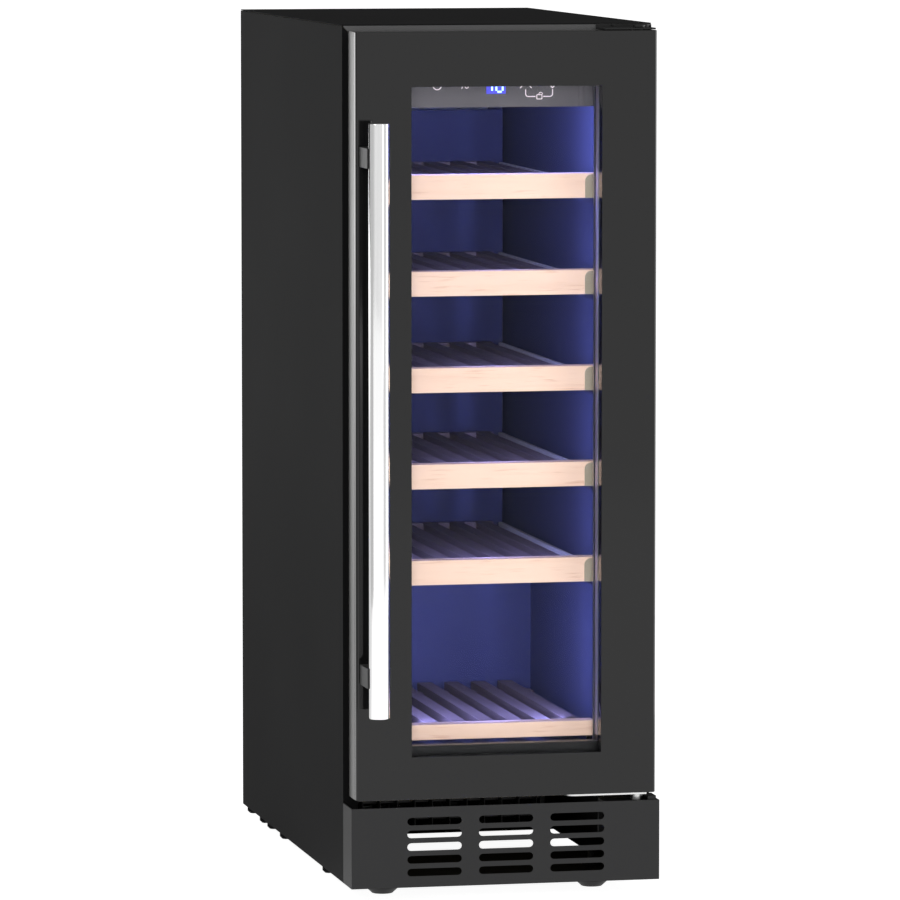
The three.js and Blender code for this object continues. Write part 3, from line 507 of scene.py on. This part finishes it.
def levelling_foot(where):
    """A round foot with a soft pad and its screw thread."""
    node = f"levelling_foot_{where}"
    low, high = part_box(node)
    middle = (low + high) / 2
    radius = (high.x - low.x) / 2
    bm = bmesh.new()
    pad = [(0, 0), (0.62, 0), (0.66, 0.02), (0.97, 0.15), (1, 0.17), (1, 0.3), (0.97, 0.32), (0.3, 0.325),
           (0, 0.325)]
    tall = high.z - low.z
    lathe(bm, [(r * radius, h * tall) for r, h in pad], (middle.x, middle.y, low.z), sides=6 * 8)
    stem = radius * 0.25
    turns = 18
    start = 0.32 * tall
    pitch = (tall - start) / turns
    thread = [(0, start)]
    for k in range(turns):
        thread += [(stem * 0.84, start + k * pitch), (stem, start + (k + 0.5) * pitch)]
    thread += [(stem * 0.8, tall), (0, tall)]
    lathe(bm, thread, (middle.x, middle.y, low.z), sides=24)
    piece = from_bmesh(f"foot_{where}", bm, MATERIALS["black"], f"foot_{where}")
    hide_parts(node)


handle_bar()
for corner_name in ("front_left", "front_right", "rear_left", "rear_right"):
    levelling_foot(corner_name)

# ---------------------------------------------------------------- screws


SCREW_RADIUS = 3.4 * MM
SCREW_INSET = 16 * MM
PANEL_SCREWS = (0.04, 0.35, 0.65, 0.96)  # shares of the back panel's height
GRILLE_SCREWS = (0.06, 0.94)  # shares of the rear grille's height


def screw_head(bm, centre):
    """A plain pan head that faces backwards."""
    tall = SCREW_RADIUS * 0.6
    outline = [(0, 0), (1, 0), (1, 0.35), (0.8, 0.8), (0.45, 1), (0, 1)]
    lathe(bm, [(r * SCREW_RADIUS, h * tall) for r, h in outline], centre, "Y", 20)


def rear_screws():
    low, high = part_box("back_panel")
    grille_low, grille_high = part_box("rear_grille")
    bm = bmesh.new()
    for side in (low.x + SCREW_INSET, high.x - SCREW_INSET):
        for share in PANEL_SCREWS:
            screw_head(bm, (side, high.y, low.z + share * (high.z - low.z)))
        for share in GRILLE_SCREWS:
            screw_head(bm, (side, high.y, grille_low.z + share * (grille_high.z - grille_low.z)))
    from_bmesh("rear_screws", bm, MATERIALS["hinge"], "cabinet")


rear_screws()

# ---------------------------------------------------------------- fans, compressor and inlet pins
FAN_BLADES = 7
BLADE_THICK = 1.2 * MM


def blade_sheet(bm, centre, reach, depth, turn, offset):
    """A grid of points over one blade: it sweeps as it goes out and flattens towards the tip."""
    rows, columns = 7, 8
    grid = []
    for i in range(rows + 1):
        out = i / rows
        radius = reach[0] + (reach[1] - reach[0]) * out
        spread = math.radians(42 - 8 * out)
        sweep = math.radians(14) * out ** 1.5
        line = []
        for j in range(columns + 1):
            share = j / columns
            angle = turn + sweep + spread * (share - 0.5)
            hollow = 0.1 * math.sin(math.pi * share)
            along = share * (1 - 0.4 * out) + 0.2 * out - hollow * (1 - share)
            y = depth[0] + (depth[1] - depth[0] - BLADE_THICK) * min(1.0, max(0.0, along)) + offset
            x, z = centre.x + radius * math.cos(angle), centre.z + radius * math.sin(angle)
            line.append(bm.verts.new((x, y, z)))
        grid.append(line)
    return grid


def fan_blade(bm, centre, reach, depth, turn):
    """One closed blade: its front and back sheets joined round the rim."""
    front = blade_sheet(bm, centre, reach, depth, turn, 0)
    back = blade_sheet(bm, centre, reach, depth, turn, BLADE_THICK)
    for grid in (front, back):
        for low_line, high_line in zip(grid, grid[1:]):
            for j in range(len(low_line) - 1):
                bm.faces.new((low_line[j], low_line[j + 1], high_line[j + 1], high_line[j]))
    rims = [(f[0], b[0]) for f, b in zip(front, back)] + list(zip(front[-1], back[-1]))[1:]
    rims += [(f[-1], b[-1]) for f, b in zip(front, back)][::-1][1:] + list(zip(front[0], back[0]))[::-1][1:-1]
    for (f, b), (f_next, b_next) in zip(rims, rims[1:] + rims[:1]):
        bm.faces.new((f, f_next, b_next, b))


def fan_wheel(fan):
    """A moulded fan wheel: a domed hub with curved blades, about the middle of its square frame."""
    frame_low, frame_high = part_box(f"{fan}_frame")
    low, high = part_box(f"{fan}_rotor")
    centre = (frame_low + frame_high) / 2
    tip = high.x - centre.x - 0.6 * MM
    hub = 0.36 * tip
    tall = high.y - low.y
    bm = bmesh.new()
    cap = [(0, 0), (0.55, 0), (0.85, 0.05), (0.97, 0.16), (1, 0.3), (1, 0.96), (0.95, 1), (0, 1)]
    lathe(bm, [(r * hub, h * tall) for r, h in cap], (centre.x, low.y, centre.z), "Y", 40)
    for index in range(FAN_BLADES):
        turn = index * 2 * math.pi / FAN_BLADES
        fan_blade(bm, centre, (hub * 0.9, tip), (low.y + 0.06 * tall, high.y - 0.06 * tall), turn)
    piece = from_bmesh(f"{fan}_wheel", bm, MATERIALS["black"], fan, 40)
    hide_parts(f"{fan}_rotor")


def compressor_shell():
    """Two domed half shells of an oval can, welded together at one raised seam."""
    low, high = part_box("compressor")
    half = (high - low) / 2
    tall = high.z - low.z
    wall, foot, crown, dome = 0.9615, 0.6, 0.48, 0.24
    bends = [math.radians(d) for d in range(0, 91, 10)]
    profile = [(0, 0)]
    profile += [(foot + (wall - foot) * math.sin(a), dome * (1 - math.cos(a))) for a in bends]
    profile += [(wall, 0.475), (0.992, 0.48), (1.0, 0.487), (1.0, 0.513), (0.992, 0.52), (wall, 0.525)]
    profile += [(crown + (wall - crown) * math.cos(a), 1 - dome + dome * math.sin(a)) for a in bends]
    profile += [(0, 1)]
    bm = bmesh.new()
    made = lathe(bm, profile, (0, 0, 0), sides=96)
    place = Matrix.Translation(((low.x + high.x) / 2, (low.y + high.y) / 2, low.z))
    bmesh.ops.transform(bm, matrix=place @ Matrix.Diagonal((half.x, half.y, tall, 1)), verts=made)
    piece = from_bmesh("compressor_can", bm, MATERIALS["shell"], "cabinet", 30)
    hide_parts("compressor")


PIN_HALF = Vector((1 * MM, 2 * MM))
PIN_PLACES = ((-7 * MM, -1 * MM), (0, 1.5 * MM), (7 * MM, -1 * MM))


def inlet_pins():
    """Three flat pins in the mains inlet, the middle one higher."""
    low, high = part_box("power_inlet")
    middle = (low + high) / 2
    bm = bmesh.new()
    for across, up in PIN_PLACES:
        x, z = middle.x + across, middle.z + up
        near = (x - PIN_HALF.x, low.y + 2 * MM, z - PIN_HALF.y)
        far = (x + PIN_HALF.x, high.y - 1.4 * MM, z + PIN_HALF.y)
        slab(bm, near, far, 0.3 * MM)
    from_bmesh("inlet_pins", bm, MATERIALS["hinge"], "cabinet")


fan_wheel("circulation_fan")
fan_wheel("condenser_fan")
compressor_shell()
inlet_pins()

# ---------------------------------------------------------------- control panel symbols
PANEL_LOW, PANEL_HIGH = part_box("control_panel")
INK = 0.25 * MM
FACE_Y = PANEL_LOW.y - 0.02 * MM
FACE = Matrix.Translation((0, FACE_Y - 0.1 * MM, 0)) @ Matrix.Rotation(math.pi / 2, 4, "X")


def stroke(bm, start, end, width):
    """A flat bar from one point to another, on the face of the control panel (x and z)."""
    start, end = Vector(start), Vector(end)
    along = (end - start).normalized()
    side = Vector((-along.y, along.x)) * width / 2
    outline = [start - side, end - side, end + side, start + side]
    extruded(bm, [tuple(p) for p in outline], INK, FACE)


def curve_stroke(bm, points, width):
    for start, end in zip(points, points[1:]):
        stroke(bm, start, end, width)


SEGMENTS = {"a": ((0, 2), (1, 2)), "b": ((1, 2), (1, 1)), "c": ((1, 1), (1, 0)), "d": ((0, 0), (1, 0)),
            "e": ((0, 1), (0, 0)), "f": ((0, 2), (0, 1)), "g": ((0, 1), (1, 1))}
DIGITS = {"1": "bc", "8": "abcdefg"}


def seven_segment(bm, digit, corner, width, height, line):
    for key in DIGITS[digit]:
        ends = []
        for across, up in SEGMENTS[key]:
            ends.append((corner[0] + across * width, corner[1] + up * height / 2))
        start, end = Vector(ends[0]), Vector(ends[1])
        pull = (end - start).normalized() * line * 0.6
        stroke(bm, start + pull, end - pull, line)


def rounded_bracket(left, right, low, top, radius):
    """An open-topped bracket with rounded lower corners, as points."""
    start = arc((left + radius, low + radius), radius, 180, 270, 6)
    end = arc((right - radius, low + radius), radius, 270, 360, 6)
    return [(left, top)] + start, end + [(right, top)]


def control_digits(middle):
    low = middle - 8.2 * MM
    window = bmesh.new()
    slab(window, (-9 * MM, FACE_Y - 0.15 * MM, low), (9.6 * MM, FACE_Y, low + 15.5 * MM), 0.05 * MM)
    from_bmesh("display_window", window, MATERIALS["display"], "cabinet")
    digits = bmesh.new()
    for digit, left in (("1", -9.5 * MM), ("8", 0.6 * MM)):
        seven_segment(digits, digit, (left, low + 2 * MM), 6 * MM, 11.5 * MM, 1.7 * MM)
    from_bmesh("display_digits", digits, MATERIALS["digit"], "cabinet")


def control_symbols(middle):
    """Power, light, up and down keys with a padlock between the last two; all plain printed signs, drawn in
    an ink that glows, which is painted light.
    """
    ink = bmesh.new()
    line = 0.9 * MM
    power = (-55.8 * MM, middle)
    curve_stroke(ink, arc(power, 3.9 * MM, 120, 420, 24), line)
    stroke(ink, (power[0], middle + 1 * MM), (power[0], middle + 6 * MM), line)
    stroke(ink, (-32.5 * MM, middle - 3.2 * MM), (-29.8 * MM, middle + 3.5 * MM), line * 0.8)
    curve_stroke(ink, arc((-27.6 * MM, middle - 1.2 * MM), 1.5 * MM, 0, 360, 14), line * 0.8)
    for tip, x in ((1, 28.8 * MM), (-1, 54.3 * MM)):
        ends = [(x + turn * 5.5 * MM, middle - tip * 3 * MM) for turn in (-1, 1)]
        curve_stroke(ink, [ends[0], (x, middle + tip * 3 * MM), ends[1]], line)
    low = middle - 10.9 * MM
    left, right = rounded_bracket(28.6 * MM, 54.4 * MM, low, middle - 4.1 * MM, 2.5 * MM)
    curve_stroke(ink, left + [(38 * MM, low)], line)
    curve_stroke(ink, [(45.4 * MM, low)] + right, line)
    lock_low = low - 2.4 * MM
    corners = [(39.3, 0), (44.2, 0), (44.2, 4), (39.3, 4), (39.3, 0)]
    curve_stroke(ink, [(x * MM, lock_low + z * MM) for x, z in corners], line * 0.8)
    curve_stroke(ink, arc((43 * MM, lock_low + 4.6 * MM), 1.7 * MM, -10, 190, 10), line * 0.7)
    from_bmesh("panel_symbols", ink, MATERIALS["symbol"], "cabinet")


def panel_ends():
    """The ends of the control panel: a bar as pale as the panel, then a darker cap towards the wall, whose
    darker grey is painted shade for a recess there.
    """
    bars = bmesh.new()
    shade_caps = bmesh.new()
    for side in (-1, 1):
        low, high = PANEL_LOW.z + 0.5 * MM, PANEL_HIGH.z - 0.5 * MM
        edges = sorted((side * 79.3 * MM, side * 84.1 * MM))
        slab(bars, (edges[0], FACE_Y - 0.8 * MM, low), (edges[1], FACE_Y, high), 0.3 * MM)
        edges = sorted((side * 84.5 * MM, side * 109 * MM))
        slab(shade_caps, (edges[0], FACE_Y - 0.4 * MM, low), (edges[1], FACE_Y, high), 0.15 * MM)
    return (from_bmesh("panel_end_bars", bars, MATERIALS["grey"], "cabinet"),
            from_bmesh("panel_end_caps_painted_shade", shade_caps, MATERIALS["painted_shade_grey"], "cabinet"))


CONTROL_LINE = PANEL_LOW.z + 20.6 * MM
control_digits(CONTROL_LINE)
control_symbols(CONTROL_LINE)
PANEL_PIECES = panel_ends()

# ---------------------------------------------------------------- stage, lights and camera


SKY_FRONT = 0.75
SKY_BEHIND = 0.06
FLOOR_SEEN = 0.95
FLOOR_MIRRORED = 0.78
FLOOR_LIT = 0.16
FLOOR_BEHIND = ((2.5, 0.62), (9.0, 2.2))  # distance behind, and the share of its glow there


def floor_glow(s):
    """How brightly the floor shines: to the eye, in mirrors and on matt things, paler far behind."""
    path = s.node("ShaderNodeLightPath")
    mirrored = s.span(path.outputs["Is Glossy Ray"], FLOOR_LIT, FLOOR_MIRRORED)
    (near, dim), (far, pale) = FLOOR_BEHIND
    behind = s.span(s.place("Y"), dim, pale, near, far)
    share = s.maths("MAXIMUM", behind, s.maths("LESS_THAN", s.place("Y"), 0.0))
    graded = s.maths("MULTIPLY", mirrored, share)
    return s.maths("MAXIMUM", graded, s.span(path.outputs["Is Camera Ray"], 0.0, FLOOR_SEEN))


def stage_floor():
    s = Shader("studio_floor", Roughness=0.9, Specular_IOR_Level=0.1)
    s.colour(s.ramp(s.noise(3.0), [(0.3, (0.5, 0.5, 0.5)), (0.7, (0.52, 0.52, 0.52))]))
    s.surface.inputs["Emission Color"].default_value = (1, 1, 1, 1)
    s.link(floor_glow(s), s.surface.inputs["Emission Strength"])
    bm = bmesh.new()
    bmesh.ops.create_circle(bm, cap_ends=True, segments=96, radius=60)
    mesh = bpy.data.meshes.new("studio_floor")
    bm.to_mesh(mesh)
    bm.free()
    mesh.materials.append(s.material)
    floor = bpy.data.objects.new("studio_floor", mesh)
    floor.location.z = CAD_LOW.z - 0.2 * MM
    bpy.context.scene.collection.objects.link(floor)


def reflector(name, azimuth, spread, level):
    """A tall card that only mirrors see; azimuth turns left from straight in front."""
    reach, tall = 1.6, 1.5
    s = Shader(name, Roughness=1.0, Specular_IOR_Level=0.0)
    s.surface.inputs["Base Color"].default_value = (0, 0, 0, 1)
    s.surface.inputs["Emission Color"].default_value = (level, level, level, 1)
    s.link(s.span(s.noise(2.0), 0.97, 1.03), s.surface.inputs["Emission Strength"])
    bm = bmesh.new()
    left, right = (math.radians(azimuth + turn * spread / 2) for turn in (1, -1))
    corners = [(-reach * math.sin(a), -reach * math.cos(a), z) for a, z in
               ((left, 0), (right, 0), (right, tall), (left, tall))]
    bm.faces.new([bm.verts.new(corner) for corner in corners])
    mesh = bpy.data.meshes.new(name)
    bm.to_mesh(mesh)
    bm.free()
    mesh.materials.append(s.material)
    card = bpy.data.objects.new(name, mesh)
    card.visible_camera = card.visible_diffuse = card.visible_shadow = False
    card.visible_transmission = False
    bpy.context.scene.collection.objects.link(card)


def studio_world():
    """White to the eye; what lights and mirrors see is bright in front and dark behind."""
    world = bpy.data.worlds.new("studio_world")
    bpy.context.scene.world = world
    world.use_nodes = True
    tree = world.node_tree
    sky = tree.nodes["Background"]
    seen = tree.nodes.new("ShaderNodeBackground")
    direction = tree.nodes.new("ShaderNodeTexCoord")
    parts = tree.nodes.new("ShaderNodeSeparateXYZ")
    tree.links.new(direction.outputs["Generated"], parts.inputs["Vector"])
    depth = tree.nodes.new("ShaderNodeMapRange")
    depth.inputs["From Min"].default_value = -0.6
    depth.inputs["From Max"].default_value = 0.5
    depth.inputs["To Min"].default_value = SKY_FRONT
    depth.inputs["To Max"].default_value = SKY_BEHIND
    tree.links.new(parts.outputs["Y"], depth.inputs["Value"])
    tree.links.new(depth.outputs["Result"], sky.inputs["Strength"])
    sky.inputs["Color"].default_value = (1, 1, 1, 1)
    seen.inputs["Color"].default_value = (1, 1, 1, 1)
    either = tree.nodes.new("ShaderNodeMixShader")
    path = tree.nodes.new("ShaderNodeLightPath")
    tree.links.new(path.outputs["Is Camera Ray"], either.inputs["Fac"])
    tree.links.new(sky.outputs["Background"], either.inputs[1])
    tree.links.new(seen.outputs["Background"], either.inputs[2])
    tree.links.new(either.outputs["Shader"], tree.nodes["World Output"].inputs["Surface"])


def area_light(name, place, target, size, power, colour=(1, 1, 1), hidden=False):
    data = bpy.data.lights.new(name, "AREA")
    data.shape = "RECTANGLE"
    data.size, data.size_y = size
    data.energy = power
    data.color = colour
    lamp = bpy.data.objects.new(name, data)
    lamp.location = place
    lamp.rotation_euler = (Vector(target) - Vector(place)).to_track_quat("-Z", "Y").to_euler()
    lamp.visible_camera = False
    if hidden:
        lamp.visible_glossy = False
    bpy.context.scene.collection.objects.link(lamp)
    return lamp


KEY_WATTS = 31
FILL_WATTS = 14
SHELF_WATTS = 82
UNDER_PANEL_WATTS = 2.4
SIDE_WATTS = 5.4
SIDE_LAMP_X = 65 * MM
LAMP_BLUE = (0.24, 0.29, 1.0)


def studio_lights():
    middle = (CAD_LOW + CAD_HIGH) / 2
    area_light("key_left", (-2.8, -1.6, 2.7), middle + Vector((0, 0, 0.55)), (1.2, 1.2), KEY_WATTS)
    area_light("fill_right", (2.2, -3.4, 1.4), middle, (1.4, 2.2), FILL_WATTS)


def shelf_light():
    """A soft lamp in front that only the shelf fronts and the control panel receive."""
    place, target = (-0.5, -3.0, 0.6), (0, 0, 0.5)
    lamp = area_light("shelf_light", place, target, (1.0, 1.4), SHELF_WATTS, (1, 0.95, 0.93), True)
    fronts = bpy.data.collections.new("shelf_fronts")
    lit = [NODES["bottom_shelf_rack"], NODES["control_panel"], *PANEL_PIECES]
    lit += [NODES[f"shelf_{n}_{part}"] for n in SHELVES for part in ("rack", "runners")]
    for piece in lit:
        fronts.objects.link(piece)
    lamp.light_linking.receiver_collection = fronts


def cabinet_lights():
    """The blue lamps inside: one under the control panel and a soft upright one on each side."""
    liner_low, liner_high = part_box("inner_liner")
    strip_low, strip_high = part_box("led_strip")
    under = ((strip_low.x + strip_high.x) / 2, (strip_low.y + strip_high.y) / 2, strip_low.z - 2 * MM)
    back = (0, under[1] + 0.3, under[2] - 0.3)
    area_light("cabinet_top", under, back, (0.18, 0.01), UNDER_PANEL_WATTS, LAMP_BLUE, True)
    middle = (liner_low.z + liner_high.z) / 2
    tall = liner_high.z - liner_low.z - 0.1
    for side, name in ((-1, "left"), (1, "right")):
        place = (side * SIDE_LAMP_X, liner_low.y + 42 * MM, middle)
        aim = (-side * 0.05, liner_low.y + 0.25, middle)
        area_light(f"cabinet_side_{name}", place, aim, (0.03, tall), SIDE_WATTS, LAMP_BLUE, True)


CAMERA_PLACE = Vector((-1.3539, -6.2772, 1.0073))
CAMERA_YAW = 0.2128  # turned right from looking along +Y
CAMERA_PITCH = 0.0941  # tipped down
CAMERA_LENS = 266.4


def studio_camera():
    data = bpy.data.cameras.new("camera")
    data.sensor_width = 36
    data.lens = CAMERA_LENS
    data.clip_end = 200
    camera = bpy.data.objects.new("camera", data)
    camera.location = CAMERA_PLACE
    camera.rotation_euler = Euler((math.pi / 2 - CAMERA_PITCH, 0, -CAMERA_YAW))
    bpy.context.scene.collection.objects.link(camera)
    bpy.context.scene.camera = camera


stage_floor()
studio_world()
reflector("card_left", 92, 46, 0.5)
reflector("card_right", -38, 26, 0.65)
reflector("card_far_right", -92, 60, 2.2)
studio_lights()
shelf_light()
cabinet_lights()
studio_camera()
bpy.context.scene.view_settings.view_transform = "Standard"
